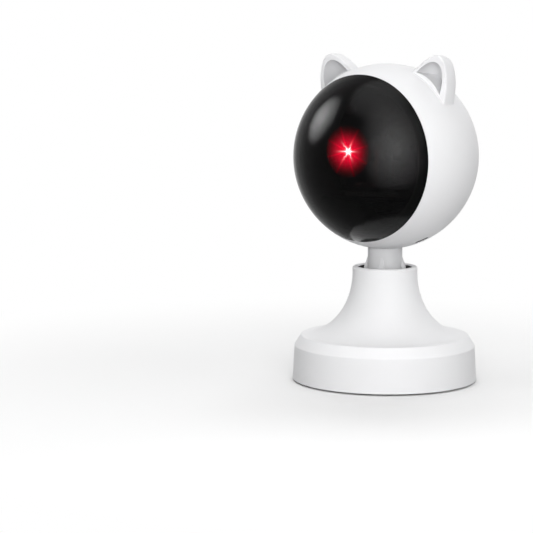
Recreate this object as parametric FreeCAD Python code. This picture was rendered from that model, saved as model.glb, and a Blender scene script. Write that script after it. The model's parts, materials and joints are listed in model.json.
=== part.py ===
import FreeCAD, Part
import math
import os

# Automatic cat laser toy: a ball-shaped head with two ears on a ball-jointed stem and a flared base.
# Millimetres. Origin: centre of the footprint, on the table. +Z up, window toward -Y, +X on the toy's left.

# ---- General clearances ----
slip_gap = 0.1               # between pieces that only have to slide together
bore_gap = 0.05              # running fit of pins and shafts
grip_gap = 0.02              # round what is held tight in a bore
past = 1.0                   # how far a cutting tool runs past a face
reach = 12.0                 # longer than any post or bore that the shell's skin trims

# ---- Fasteners ----
screw_radius = 1.2
screw_head_radius = 2.2
screw_head_height = 1.4
small_screw_radius = 0.8
small_head_radius = 1.5
small_head_height = 1.0
hole_gap = 0.15              # round a shank or a sunk head
head_clearance = 0.4         # round a screw head or a boss that passes another piece
screw_end_gap = 0.6          # beyond a screw's tip, in its hole

# ---- Base ----
foot_height = 0.8            # air under the base plate
foot_radius = 5.0
foot_recess = 0.6
foot_inset = 8.6             # of the pads' centres from the plate's edge
foot_round = 0.3
foot_count = 4
base_radius = 40.0           # at the bottom edge
side_lean = 0.75             # how much the side wall leans in
base_shoulder_z = 15.5       # where the side wall ends and the bevel begins
bevel_width = 2.85
bevel_height = 4.5
collar_rim_z = 50.0
collar_height = 3.0          # the flare is a quarter ellipse from the bevel up to the collar
collar_wall = 2.6
base_wall = 2.2
base_edge_round = 0.9
rim_round = 1.0
rim_round_share = 0.45       # of the collar's wall, at most
plate_thick = 2.0
plate_gap = 0.2
base_screw_count = 4
base_screw_first = 45.0      # angle of the first screw
base_screw_inset = 6.6       # of the screws from the plate's edge
base_screw_length = 7.0
base_boss_radius = 3.2
base_head_recess = 1.0
base_head_height = 0.8
ballast_gap = 3.3            # between the ring and the screw bosses
ballast_bore = 8.0
ballast_height = 8.0
ballast_chamfer = 0.6
ballast_screw_length = 6.0
ballast_head_radius = 10.5
ballast_head_height = 1.6

# ---- Ball joint ----
ball_radius = 10.0
ball_drop = 9.5              # of the ball's centre below the collar's rim
ball_clearance = 0.1
seat_wall = 1.3
seat_gap = 0.1               # round the seat, in the collar
seat_lip_hold = 0.7          # how far the lip reaches over the ball
seat_lip_height = 0.3        # above the edge of the seat's hollow
seat_flange_width = 1.4
seat_flange_drop = 7.5       # of the flange's bottom below the ball's centre
seat_flange_thick = 2.6
socket_gap = 0.2             # round the flange
socket_wall = 2.2
retainer_thick = 2.0
retainer_margin = 0.1        # of the retainer beyond its bosses
retainer_bore = 3.0
retainer_count = 3
retainer_first = 90.0        # angle of the first screw
retainer_screw_gap = 1.0     # between a screw's hole and the socket's tube
retainer_screw_length = 5.0
retainer_boss_radius = 2.7
retainer_boss_height = 3.6
bush_height = 4.4            # rubber bush under the cup
bush_radius = 7.4
bush_bore = 4.8
bush_pilot_height = 1.2      # of the retainer's rim inside the bush
bush_waist_rise = 1.2
bush_waist_depth = 0.8
cup_radius = 8.5
cup_floor = 2.0              # under the ball
cup_height = 5.0
stem_radius = 7.5
gusset_count = 4
gusset_angle = 26.5          # of the first gusset, from straight behind the window
gusset_radius = 9.0
gusset_rise = 4.5            # of its top above the collar's rim
gusset_edge_drop = 0.2       # of its outer edge's top below the rim
gusset_edge_height = 1.8
gusset_undercut = 1.5
gusset_thick = 2.4
gusset_tip_thick = 0.7
gusset_sink = 0.1            # how far its flanks start inside the stem
spigot_radius = 6.0
stem_rise = 11.0             # of the stem's shoulder above the collar's rim
spigot_length = 9.0
stem_washer_radius = 8.5
stem_washer_thick = 1.2
stem_screw_length = 9.0
stem_head_radius = 3.0
stem_head_height = 2.0

# ---- Head ----
head_radius = 40.0
neck_depth = 3.4             # of the stem's shoulder inside the head
head_wall = 2.2
window_angle = 63.0          # half-angle of the window, seen from the head's centre
window_thick = 2.0
window_gap = 0.12
seam_angle = 128.7           # of the rear seam, from the window's axis
ledge_thick = 1.6            # the ledge behind the window's edge
ledge_gap = 0.05
ledge_under_angle = 4.5      # how far it reaches under the window
ledge_root_angle = 3.5       # how far it reaches under the shell
neck_boss_radius = 9.0
turning_gap = 0.05           # round the spigot and under the shoulder
lip_under_angle = 4.0        # how far the rear cover's lip reaches under the shell
lip_root_angle = 4.0         # how far it reaches under the cover

# ---- Ears (places are shares of the half width and the height, across and up from the ear's foot) ----
ear_turn = 52.0              # of the ear's middle, above the head's side
ear_half_width = 10.0
ear_height = 12.7
ear_places = ((-1.01, -0.47), (-0.98, -0.10), (-0.85, 0.42), (-0.70, 0.72), (-0.55, 0.90), (-0.17, 1.00),
              (0.25, 0.84), (0.71, 0.46), (1.40, -0.44))
ear_root = (0.50, -0.84)     # the ear narrows toward this place
ear_front_y = -3.5
ear_back_y = 6.5
ear_front_round = 0.8
ear_root_round = 0.6
ear_shares = (0.0, 0.2, 0.4, 0.6, 0.76, 0.88, 0.95, 1.0)       # of the depth, one for each section
ear_back_share = 0.985
ear_power = 5.0              # how long the ear stays full before it narrows to its rounded back
hollow_places = ((-0.81, 0.00), (-0.72, 0.30), (-0.52, 0.62), (-0.28, 0.76), (0.01, 0.76), (0.27, 0.62),
                 (0.45, 0.44), (0.63, 0.18), (0.72, 0.01))
hollow_sill = (0.03, 0.15)   # the middle of the hollow's lower edge
hollow_centre = (-0.07, 0.31)
hollow_depth = 6.0
hollow_shares = (0.0, 0.4, 0.68, 0.86, 0.97)
hollow_power = 2.2

# ---- Slide switch at the lower right of the head ----
switch_direction = (0.473, 0.023, -0.881)
switch_slide = (0.716, 0.572, 0.400)
slot_length = 6.2
slot_width = 3.0
slider_length = 3.0
slider_play = 0.2
slider_recess = 0.9
slider_tongue = 1.6
tongue_width = 1.1
tongue_depth = 1.3
switch_length = 9.0
switch_width = 4.6
switch_depth = 4.4
switch_inset = 5.5           # of the switch's face from the head's skin
switch_pad_margin = 0.3      # of the pad beyond the hooks
switch_pad_side = 0.8        # of the pad beside the switch
hook_thick = 1.2
hook_length = 3.0
hook_root = 0.5

# ---- Frame, boards and battery (places are from the head's centre, insets from the head's skin) ----
chassis_front_y = 9.0
chassis_thick = 2.0
chassis_inset = 5.5
chassis_bottom_inset = 17.5
chassis_boss_x = 26.0
chassis_boss_inset = 2.2975  # of the bosses from the frame's rim
chassis_boss_radius = 3.0
chassis_boss_end_gap = 0.3   # between a boss and the seam
chassis_screw_length = 7.0
chassis_hole_z = 6.0         # the opening behind the turret
chassis_hole_radius = 9.0
cover_post_radius = 2.8
cover_post_inset = 16.5
cover_post_angles = (90.0, 206.6, 333.4)
cover_seat_gap = 0.95        # between a post's rim and the cover's wall
cover_seat_radius = 3.6
cover_seat_thick = 1.2
cover_screw_length = 8.0
board_thick = 1.6
standoff_height = 3.0
main_board_side = 22.5       # from the head's side to the board's side
main_board_drop = 26.0       # from the head's top to the board's top
main_hole_inset = 2.5
main_screw_length = 4.5
standoff_radius = 2.0
chip_boxes = ((-4.0, -3.5, 7.5, 7.5, 1.2), (8.0, -6.0, 4.0, 5.0, 1.0), (-12.0, 2.0, 4.0, 5.0, 1.6))
chip_root = 0.1
battery_side = 23.5          # from the head's side to the cell's side
battery_drop = 28.0          # from the head's top to the cell's top
battery_thick = 7.0
battery_round = 1.2
tray_wall = 1.0
tray_rim_drop = 2.0          # the tray's rim stays this far below the cell's back
control_board_inset = 12.2
control_board_half_x = 9.5
control_board_drop = 21.5    # from the head's top to the board's top
control_hole_side = 2.2      # from the board's side to a hole
control_hole_drop = 2.7      # from the board's top to a hole
control_post_radius = 1.9
control_screw_length = 4.1
tact_half = 3.0
tact_height = 3.5
tact_plunger = 0.5
tact_plunger_radius = 1.75
button_radius = 5.0
button_gap = 0.18
button_flange = 6.2
button_flange_thick = 1.2
button_pad_margin = 1.0
button_stand = 0.5           # the button stands this far out of the head
button_travel = 0.5
button_round = 0.5
light_radius = 1.0
light_z = 11.0
light_inset = 0.15
light_foot_half_x = 1.6
light_foot_half_z = 1.2
light_foot_thick = 1.0
usb_half_width = 4.5
usb_half_height = 1.65
usb_z = -12.0
usb_gap = 0.2
usb_inset = 0.4
usb_wall = 0.35
usb_mouth_depth = 5.5
usb_tongue_half = 3.2
usb_tongue_thick = 0.7
usb_tongue_inset = 1.2

# ---- Laser turret (places are from the head's centre) ----
pan_y = -13.0                # pan axis
tilt_z = 3.5                 # tilt axis, crosses the pan axis
gear_module = 0.5
pinion_teeth = 12
gear_teeth = 36
gear_backlash = 0.14
gear_width = 1.9
pressure_angle = 20.0
addendum = 0.85              # of the module
dedendum = 1.2
shelf_inset = 24.0           # of the shelf's top from the head's lowest point
shelf_thick = 2.0
shelf_half_width = 18.0
shelf_front_y = -22.0
web_thick = 2.0
web_reach = 9.0
web_height = 8.0
pan_pin_radius = 1.5
pan_boss_radius = 3.5
pan_boss_height = 4.0
pan_head_radius = 2.5
pan_head_height = 1.0
pan_hub_radius = 7.0
wheel_lift = 0.2             # of the pan gear above the shelf
yoke_lift = 0.1              # of the yoke above the pan gear
yoke_plate_thick = 2.0
yoke_front = 6.5             # ahead of the pan axis
yoke_back = 5.0              # behind the tilt motor's axis
yoke_screw_x = 4.5
yoke_screw_length = 3.5
cheek_inner = 7.4
cheek_thick = 2.0
cheek_half = 4.5
tilt_pin_radius = 1.0
tilt_sleeve_length = 8.0
tilt_foot_half = 3.0
cradle_half = 5.0
cradle_setback = 5.0         # of the cradle behind the barrel's front
cradle_round = 1.5
cradle_gap = 0.2             # between the cradle's hub and the cheek
tilt_hub_radius = 3.2
laser_radius = 4.0
laser_front = 14.0           # from the tilt axis to the barrel's front
laser_rear = 4.0
laser_chamfer = 0.4
lens_radius = 2.6
lens_inset = 0.6
lens_thick = 1.4
bezel_radius = 11.0
bezel_thick = 1.0
bezel_stand = 0.2
sector_inner = 5.2
sector_half_angle = 41.0
pan_motor_radius = 5.0
pan_motor_end_gap = 0.4      # between the motor's end and the window's ledge
pan_sleeve_height = 5.0
tilt_motor_radius = 4.0
tilt_motor_length = 11.8
motor_nose_radius = 2.0
motor_nose_height = 1.2
motor_nose_root = 1.0
motor_shaft_radius = 0.75
pan_shaft_depth = 6.0        # of the shaft's bore in the motor
tilt_shaft_depth = 6.4
shaft_end_gap = 0.1
sleeve_wall = 1.2

shoulder_z = collar_rim_z + stem_rise
spigot_top_z = shoulder_z + spigot_length
head_z = shoulder_z - neck_depth + head_radius

V = FreeCAD.Vector
UP = V(0, 0, 1)
BACK = V(0, 1, 0)
LEFT = V(1, 0, 0)
HEAD = V(0, 0, head_z)


def at(x, y, z):
    """A place given from the head's centre."""
    return HEAD + V(x, y, z)


def cylinder(start, direction, radius, length):
    return Part.makeCylinder(radius, length, start, direction)


def ring(start, direction, outer, inner, length):
    return cylinder(start, direction, outer, length).cut(cylinder(start, direction, inner, length))


def box(low, high):
    size = high - low
    return Part.makeBox(size.x, size.y, size.z, low)


def lines(points):
    return [Part.LineSegment(a, b).toShape() for a, b in zip(points, points[1:]) if (b - a).Length > 1e-6]


def smooth_curve(points):
    curve = Part.BSplineCurve()
    curve.interpolate(points)
    return curve.toShape()


def lathe(edges):
    """A solid of revolution about the vertical axis, from the edges of a closed half section."""
    return Part.Face(Part.Wire(edges)).revolve(V(0, 0, 0), UP, 360)


def joined(first, *others):
    return first.fuse(list(others)).removeSplitter()


def moved(shape, place):
    copy = shape.copy()
    copy.translate(place)
    return copy


def spread(count, radius, first_angle=0.0):
    """Places spaced evenly on a circle about the vertical axis."""
    angles = [math.radians(first_angle + 360.0 * i / count) for i in range(count)]
    return [V(radius * math.cos(a), radius * math.sin(a), 0) for a in angles]


def edges_near(shape, test):
    return [e for e in shape.Edges if test(e)]


def is_circle(edge):
    return edge.Curve.TypeId == "Part::GeomCircle"


def bounded(share, power):
    """The half width of a rounded profile at a share of its depth: 1 at its root, 0 at its end."""
    return (1 - share ** power) ** (1 / power)


# ---- Screws ----
cross_width = 0.28           # of the recess's arms, in head radii
cross_length = 1.1
cross_floor = 0.45           # of the recess, in head heights


def screw(tip, direction, length, radius=screw_radius, head=screw_head_radius, head_height=screw_head_height):
    """A pan-headed screw with a cross recess; direction runs from the tip to the head."""
    seat = tip + direction * length
    body = cylinder(tip, direction, radius, length).fuse(cylinder(seat, direction, head, head_height))
    side = direction.cross(V(1, 2, 3)).normalize()
    blade = Part.makeBox(head * cross_length, head * cross_width, head_height)
    blade.translate(V(-head * cross_length / 2, -head * cross_width / 2, 0))
    for across in (side, direction.cross(side)):
        turn = FreeCAD.Rotation(across, direction.cross(across), direction, "ZXY")
        arm = blade.copy()
        place = FreeCAD.Placement(seat + direction * head_height * cross_floor, turn)
        arm.Placement = place.multiply(blade.Placement)
        body = body.cut(arm)
    return body


def small_screw(tip, direction, length):
    return screw(tip, direction, length, small_screw_radius, small_head_radius, small_head_height)


# ---- Gears ----
def gear_radius(teeth):
    return gear_module * teeth / 2.0


gear_distance = gear_radius(gear_teeth) + gear_radius(pinion_teeth)


def involute_point(base, angle, start):
    """A point of the involute of the base circle, unrolled by angle and turned by start."""
    return V(base * (math.cos(start + angle) + angle * math.sin(start + angle)),
             base * (math.sin(start + angle) - angle * math.cos(start + angle)), 0)


def gear(teeth, width, bore):
    """A spur gear about +Z with a tooth centred on +X, standing on z = 0."""
    pitch = gear_radius(teeth)
    base = pitch * math.cos(math.radians(pressure_angle))
    tip = pitch + addendum * gear_module
    root = pitch - dedendum * gear_module
    roll_pitch = math.sqrt((pitch / base) ** 2 - 1)
    roll_tip = math.sqrt((tip / base) ** 2 - 1)
    half_tooth = math.pi / (2 * teeth) - gear_backlash / (4 * pitch)
    start = -(half_tooth + roll_pitch - math.atan(roll_pitch))
    flank = [involute_point(base, roll_tip * i / 4.0, start) for i in range(5)]
    foot = V(root * math.cos(start), root * math.sin(start), 0)
    step = FreeCAD.Rotation(UP, 360.0 / teeth)
    half_step = FreeCAD.Rotation(UP, 180.0 / teeth)
    edges = []
    for i in range(teeth):
        turn = FreeCAD.Rotation(UP, 360.0 * i / teeth)
        right = [turn.multVec(p) for p in flank]
        left = [turn.multVec(V(p.x, -p.y, 0)) for p in flank]
        foot_right = turn.multVec(foot)
        foot_left = turn.multVec(V(foot.x, -foot.y, 0))
        edges += lines([foot_right, right[0]])
        edges.append(smooth_curve(right))
        edges.append(Part.Arc(right[-1], turn.multVec(V(tip, 0, 0)), left[-1]).toShape())
        edges.append(smooth_curve(left[::-1]))
        edges += lines([left[0], foot_left])
        gap_middle = half_step.multVec(turn.multVec(V(root, 0, 0)))
        edges.append(Part.Arc(foot_left, gap_middle, step.multVec(foot_right)).toShape())
    outline = Part.Face(Part.Wire(edges))
    return outline.extrude(UP * width).cut(cylinder(V(0, 0, 0), UP, bore, width))


def pinion():
    """A pinion with a gap on +X, so that it meshes with a gear's tooth there."""
    wheel = gear(pinion_teeth, gear_width, motor_shaft_radius)
    wheel.rotate(V(0, 0, 0), UP, 180.0 / pinion_teeth)
    return wheel


def turned_to(shape, place, axis, toward):
    """The shape moved so that its +Z lies along axis and its +X points toward."""
    side = (toward - axis * toward.dot(axis)).normalize()
    turn = FreeCAD.Rotation(side, axis.cross(side), axis, "ZXY")
    copy = shape.copy()
    copy.Placement = FreeCAD.Placement(place, turn).multiply(shape.Placement)
    return copy


# ---- Base ----
ball_z = collar_rim_z - ball_drop
cavity_radius = ball_radius + ball_clearance       # of the ball's seat and cup
collar_bore = cavity_radius + seat_wall + seat_gap
collar_radius = collar_bore + collar_wall
flare_top_z = collar_rim_z - collar_height
base_shoulder_radius = base_radius - side_lean
ridge_radius = base_shoulder_radius - bevel_width  # where the bevel ends and the flare begins
ridge_z = base_shoulder_z + bevel_height
seat_flange_radius = collar_bore + seat_flange_width
seat_flange_bottom_z = ball_z - seat_flange_drop
seat_flange_top_z = seat_flange_bottom_z + seat_flange_thick
socket_bore = seat_flange_radius + socket_gap
socket_tube_radius = socket_bore + socket_wall
cup_bottom_z = ball_z - cavity_radius - cup_floor
retainer_top_z = cup_bottom_z - bush_height
retainer_bottom_z = retainer_top_z - retainer_thick
retainer_circle = socket_tube_radius + retainer_screw_gap + screw_radius
retainer_radius = retainer_circle + retainer_boss_radius + retainer_margin
plate_top_z = foot_height + plate_thick
plate_radius = base_radius - base_wall - plate_gap
base_seat_z = foot_height + base_head_recess
base_screw_circle = plate_radius - base_screw_inset
ballast_radius = base_screw_circle - base_boss_radius - ballast_gap
foot_places = spread(foot_count, plate_radius - foot_inset)
base_screw_places = spread(base_screw_count, base_screw_circle, base_screw_first)
retainer_places = spread(retainer_count, retainer_circle, retainer_first)


def flare_edge(inset, from_radius):
    """The concave flare, moved inward by inset, from the ridge's radius up to a smaller radius."""
    centre = V(ridge_radius, 0, flare_top_z)
    tall = flare_top_z - ridge_z + inset
    wide = ridge_radius - collar_radius + inset
    top, end, bottom = centre + V(0, 0, tall), centre - V(wide, 0, 0), centre - V(0, 0, tall)
    if tall > wide:
        ellipse, ridge_angle = Part.Ellipse(top, end, centre), math.pi
    else:
        ellipse, ridge_angle = Part.Ellipse(end, bottom, centre), math.pi / 2
    side = math.asin(min(1.0, (ridge_radius - from_radius) / wide))
    return Part.ArcOfEllipse(ellipse, ridge_angle - side, ridge_angle).toShape()


def inward(a, b, distance):
    """The straight wall from a up to b, moved to its inside."""
    along = (b - a).normalize()
    shift = V(-along.z, 0, along.x) * distance
    return a + shift, b + shift


def crossing(first, second):
    """Where two lines in the XZ plane meet, each given by two of its points."""
    (a, b), (c, d) = first, second
    u, v, gap = b - a, d - c, c - a
    return a + u * ((gap.x * v.z - gap.z * v.x) / (u.x * v.z - u.z * v.x))


def base_hollow(foot, shoulder, ridge):
    """The room inside the base: within its walls, below the flare and round the socket's tube."""
    axis_foot, axis_top = V(0, 0, foot.z), V(0, 0, flare_top_z)
    wall, bevel = inward(foot, shoulder, base_wall), inward(shoulder, ridge, base_wall)
    side = lathe(lines([axis_foot, crossing(wall, (foot, axis_foot)), crossing(wall, bevel), bevel[1],
                        V(bevel[1].x, 0, flare_top_z), axis_top, axis_foot]))
    ceiling = flare_edge(base_wall, socket_tube_radius)
    low_z, high_z = ceiling.BoundBox.ZMin, ceiling.BoundBox.ZMax
    outside = ridge_radius + base_radius
    under = [ceiling] + lines([V(socket_tube_radius, 0, high_z), V(socket_tube_radius, 0, retainer_top_z),
                               V(0, 0, retainer_top_z), axis_foot, V(outside, 0, foot.z),
                               V(outside, 0, low_z), V(ridge_radius, 0, low_z)])
    return side.common(lathe(Part.__sortEdges__(under)))


def base_shell():
    bottom = foot_height
    foot, shoulder = V(base_radius, 0, bottom), V(base_shoulder_radius, 0, base_shoulder_z)
    ridge = V(ridge_radius, 0, ridge_z)
    profile = lines([V(0, 0, bottom), foot, shoulder, ridge])
    profile.append(flare_edge(0.0, collar_radius))
    profile += lines([V(collar_radius, 0, flare_top_z), V(collar_radius, 0, collar_rim_z),
                      V(0, 0, collar_rim_z), V(0, 0, bottom)])
    body = lathe(profile)
    corners = edges_near(body, lambda e: is_circle(e) and e.BoundBox.XMax > ridge_radius - 0.01
                         and e.BoundBox.ZMin > bottom + 0.01)
    body = body.makeFillet(base_edge_round, corners)
    body = body.cut(base_hollow(foot, shoulder, ridge))
    bosses = [cylinder(p + UP * plate_top_z, UP, base_boss_radius, ridge_z - plate_top_z)
              for p in base_screw_places]
    sockets = [cylinder(p + UP * retainer_top_z, UP, retainer_boss_radius, retainer_boss_height)
               for p in retainer_places]
    body = joined(body, *bosses, *sockets)
    flange_space = seat_flange_top_z + slip_gap - retainer_top_z
    body = body.cut(cylinder(V(0, 0, retainer_top_z), UP, socket_bore, flange_space))
    body = body.cut(cylinder(V(0, 0, retainer_top_z), UP, collar_bore, collar_rim_z - retainer_top_z))
    for p in base_screw_places:
        depth = base_head_recess + base_screw_length + screw_end_gap
        body = body.cut(cylinder(p + UP * foot_height, UP, screw_radius, depth))
    for p in retainer_places:
        depth = retainer_screw_length - retainer_thick + screw_end_gap
        body = body.cut(cylinder(p + UP * retainer_top_z, UP, screw_radius, depth))
    rim = edges_near(body, lambda e: is_circle(e) and abs(e.BoundBox.ZMax - collar_rim_z) < 0.01
                     and e.BoundBox.ZMin > collar_rim_z - 0.01)
    return body.makeFillet(min(rim_round, rim_round_share * collar_wall), rim)


def base_plate():
    body = cylinder(V(0, 0, foot_height), UP, plate_radius, plate_thick)
    body = joined(body, cylinder(V(0, 0, plate_top_z), UP, ballast_bore - slip_gap, ballast_height))
    for p in foot_places:
        body = body.cut(cylinder(p + UP * foot_height, UP, foot_radius + slip_gap, foot_recess))
    for p in base_screw_places:
        body = body.cut(cylinder(p + UP * foot_height, UP, screw_radius + hole_gap, plate_thick))
        body = body.cut(cylinder(p + UP * foot_height, UP, screw_head_radius + hole_gap, base_head_recess))
    return body.cut(cylinder(V(0, 0, plate_top_z), UP, screw_radius, ballast_height))


def rubber_feet():
    pads = []
    for p in foot_places:
        pad = cylinder(p, UP, foot_radius, foot_height + foot_recess)
        pads.append(pad.makeFillet(foot_round, edges_near(pad, lambda e: e.BoundBox.ZMax < 0.01)))
    return Part.makeCompound(pads)


def base_screws():
    return Part.makeCompound([screw(p + UP * (base_seat_z + base_screw_length), -UP, base_screw_length,
                                    head_height=base_head_height) for p in base_screw_places])


def ballast_weight():
    body = ring(V(0, 0, plate_top_z), UP, ballast_radius, ballast_bore, ballast_height)
    return body.makeChamfer(ballast_chamfer, edges_near(body, is_circle))


def ballast_screw():
    top = plate_top_z + ballast_height
    return screw(V(0, 0, top - ballast_screw_length), UP, ballast_screw_length, head=ballast_head_radius,
                 head_height=ballast_head_height)


def socket_retainer():
    low = V(0, 0, retainer_bottom_z)
    pilot = ring(low, UP, bush_bore - slip_gap, retainer_bore, retainer_thick + bush_pilot_height)
    body = joined(ring(low, UP, retainer_radius, retainer_bore, retainer_thick), pilot)
    for p in retainer_places:
        body = body.cut(cylinder(p + low, UP, screw_radius + hole_gap, retainer_thick))
    return body


def retainer_screws():
    tip_z = retainer_bottom_z + retainer_screw_length
    return Part.makeCompound([screw(p + UP * tip_z, -UP, retainer_screw_length) for p in retainer_places])


def pressure_bush():
    """A rubber bush squeezed between the retainer and the cup: it presses the ball."""
    height = cup_bottom_z - retainer_top_z
    body = ring(V(0, 0, retainer_top_z), UP, bush_radius, bush_bore, height)
    waist = ring(V(0, 0, retainer_top_z + bush_waist_rise), UP, bush_radius + past,
                 bush_radius - bush_waist_depth, height - 2 * bush_waist_rise)
    return body.cut(waist)


def pressure_cup():
    body = cylinder(V(0, 0, cup_bottom_z), UP, cup_radius, cup_height)
    return body.cut(Part.makeSphere(cavity_radius, V(0, 0, ball_z)))


def ball_seat():
    bottom = V(0, 0, seat_flange_bottom_z)
    seat_lip_radius = ball_radius - seat_lip_hold
    lip_z = ball_z + math.sqrt(cavity_radius ** 2 - seat_lip_radius ** 2) + seat_lip_height
    body = cylinder(bottom, UP, seat_flange_radius, seat_flange_thick)
    body = joined(body, cylinder(bottom, UP, collar_bore - seat_gap, lip_z - seat_flange_bottom_z))
    body = body.cut(Part.makeSphere(cavity_radius, V(0, 0, ball_z)))
    body = body.cut(cylinder(bottom, UP, cavity_radius, ball_z - seat_flange_bottom_z))
    return body.cut(cylinder(V(0, 0, ball_z), UP, seat_lip_radius, collar_rim_z - ball_z))


def gusset(angle):
    """A fin that grows wider and thicker from the stem's middle down to the collar."""
    flank = stem_radius - gusset_sink
    edge_z = collar_rim_z - gusset_edge_drop
    bottom_z = edge_z - gusset_edge_height
    levels = [(flank, gusset_thick, bottom_z - gusset_undercut),
              (gusset_radius, gusset_thick, bottom_z),
              (gusset_radius, gusset_thick, edge_z),
              (flank, gusset_tip_thick, collar_rim_z + gusset_rise)]
    wires = []
    for radius, thick, z in levels:
        half = thick / 2
        wires.append(Part.Wire(lines([V(0, -half, z), V(radius, -half, z), V(radius, half, z), V(0, half, z),
                                      V(0, -half, z)])))
    fin = Part.makeLoft(wires, True, True)
    fin.rotate(V(0, 0, 0), UP, angle)
    return fin


def ball_stem():
    middle = V(0, 0, ball_z)
    body = joined(Part.makeSphere(ball_radius, middle),
                  cylinder(middle, UP, stem_radius, shoulder_z - turning_gap - ball_z))
    fins = [gusset(gusset_angle - 90 + 360.0 * i / gusset_count) for i in range(gusset_count)]
    body = joined(body, *fins, cylinder(middle, UP, spigot_radius, spigot_top_z + turning_gap - ball_z))
    tip = stem_head_z - stem_screw_length - screw_end_gap
    return body.cut(cylinder(V(0, 0, tip), UP, screw_radius, stem_screw_length))


stem_head_z = spigot_top_z + turning_gap + stem_washer_thick


def stem_washer():
    return ring(V(0, 0, spigot_top_z + turning_gap), UP, stem_washer_radius, screw_radius + hole_gap,
                stem_washer_thick)


def stem_screw():
    return screw(V(0, 0, stem_head_z - stem_screw_length), UP, stem_screw_length, head=stem_head_radius,
                 head_height=stem_head_height)


# ---- Ears ----
def ear_place(side, place, y):
    """A place of the ear on the head, from its shares across and up."""
    turn = math.radians(ear_turn)
    across, up = place[0] * ear_half_width, head_radius + place[1] * ear_height
    return at(side * (up * math.cos(turn) + across * math.sin(turn)), y,
              up * math.sin(turn) - across * math.cos(turn))


def shrunk(places, middle, width):
    """The places drawn toward a middle place, by a share of their distance from it."""
    return [tuple(m + width * (p - m) for p, m in zip(place, middle)) for place in places]


def ear_section(side, width, y):
    """One section of the ear: a smooth curve over its tip and a foot in the head."""
    points = [ear_place(side, place, y) for place in shrunk(ear_places, ear_root, width)]
    return Part.Wire([smooth_curve(points)] + lines([points[-1], ear_place(side, ear_root, y), points[0]]))


def hollow_section(side, width, y):
    """One section of the hollow in the ear's front."""
    *points, sill = [ear_place(side, place, y)
                     for place in shrunk(hollow_places + (hollow_sill,), hollow_centre, width)]
    return Part.Wire([smooth_curve(points), Part.Arc(points[-1], sill, points[0]).toShape()])


def ear(side):
    depth = ear_back_y - ear_front_y
    solid = Part.makeLoft([ear_section(side, bounded(s * ear_back_share, ear_power), ear_front_y + s * depth)
                           for s in ear_shares], True, False)
    edge = edges_near(solid, lambda e: e.BoundBox.YMax < ear_front_y + 0.01 and
                      e.Curve.TypeId == "Part::GeomBSplineCurve")
    solid = solid.makeFillet(ear_front_round, edge)
    hollow = Part.makeLoft([hollow_section(side, bounded(s, hollow_power), ear_front_y + s * hollow_depth)
                            for s in hollow_shares], True, False)
    return solid.cut(hollow)


def is_ear_root(edge):
    """Whether the edge is where an ear meets the head's outer surface."""
    places = edge.discretize(5)
    front_y = -head_radius * math.cos(math.radians(window_angle))
    return (all(abs((p - HEAD).Length - head_radius) < 0.02 for p in places)
            and not all(abs(p.y - front_y) < 0.1 or abs(p.y - seam_y) < 0.1 for p in places)
            and all(p.z > head_z and abs(p.x) > 1 for p in places))


# ---- Slide switch ----
switch_face = head_radius - switch_inset           # its distance from the head's centre


def switch_frame():
    """The slide switch's axes: outward, along the slide and across it."""
    out = V(*switch_direction).normalize()
    along = V(*switch_slide)
    along = (along - out * along.dot(out)).normalize()
    return out, along, out.cross(along)


def switch_block(length, width, near, far, shift=0.0):
    """A block on the slide switch's axes, between two distances from the head's centre."""
    out, along, across = switch_frame()
    block = Part.makeBox(length, width, far - near)
    block.translate(V(-length / 2 + shift, -width / 2, near))
    turn = FreeCAD.Rotation(along, across, out, "ZXY")
    block.Placement = FreeCAD.Placement(HEAD, turn).multiply(block.Placement)
    return block


def switch_oval(length, width, near, far, shift=0.0):
    """A bar with round ends on the slide switch's axes."""
    out, along, across = switch_frame()
    straight = (length - width) / 2
    bar = switch_block(2 * straight, width, near, far, shift)
    ends = [cylinder(HEAD + out * near + along * (shift + s * straight), out, width / 2, far - near)
            for s in (-1, 1)]
    return joined(bar, *ends)


slider_travel = (slot_length - slider_length) / 2 - slider_play      # each way from the slot's middle


def power_switch():
    body = switch_block(switch_length, switch_width, switch_face - switch_depth, switch_face)
    groove = switch_block(2 * slider_travel + slider_tongue + 2 * slider_play, tongue_width + 2 * slider_play,
                          switch_face - tongue_depth - slider_play, switch_face + past)
    return body.cut(groove)


def power_slider():
    knob = switch_oval(slider_length, slot_width - 2 * slider_play, switch_face + slider_play,
                       head_radius - slider_recess, -slider_travel)
    tongue = switch_block(slider_tongue, tongue_width, switch_face - tongue_depth,
                          switch_face + 2 * slider_play, -slider_travel)
    return joined(knob, tongue)


# ---- Head ----
inner_radius = head_radius - head_wall
skin_radius = head_radius - head_wall / 2          # the middle of the wall
ledge_inner_radius = head_radius - window_thick - ledge_gap - ledge_thick
seam_y = -head_radius * math.cos(math.radians(seam_angle))
chassis_back_y = chassis_front_y + chassis_thick
chassis_radius = head_radius - chassis_inset
chassis_boss_z = math.sqrt((chassis_radius - chassis_boss_inset) ** 2 - chassis_boss_x ** 2)
main_board_y = chassis_back_y + standoff_height
main_board_half_x, main_board_half_z = head_radius - main_board_side, head_radius - main_board_drop
control_board_y = head_radius - control_board_inset
control_board_half_z = head_radius - control_board_drop
control_hole_x = control_board_half_x - control_hole_side
control_hole_z = control_board_half_z - control_hole_drop
cover_post_ring = head_radius - cover_post_inset
cover_seat_y = math.sqrt(inner_radius ** 2 - (cover_post_ring + cover_post_radius) ** 2) - cover_seat_gap
corners = ((-1, -1), (-1, 1), (1, -1), (1, 1))
chassis_boss_places = [(i * chassis_boss_x, j * chassis_boss_z) for i, j in corners]
main_hole_places = [(i * (main_board_half_x - main_hole_inset), j * (main_board_half_z - main_hole_inset))
                    for i, j in corners]
control_hole_places = [(i * control_hole_x, j * control_hole_z) for i, j in corners]
cover_post_places = [(cover_post_ring * math.cos(a), cover_post_ring * math.sin(a))
                     for a in map(math.radians, cover_post_angles)]
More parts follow.
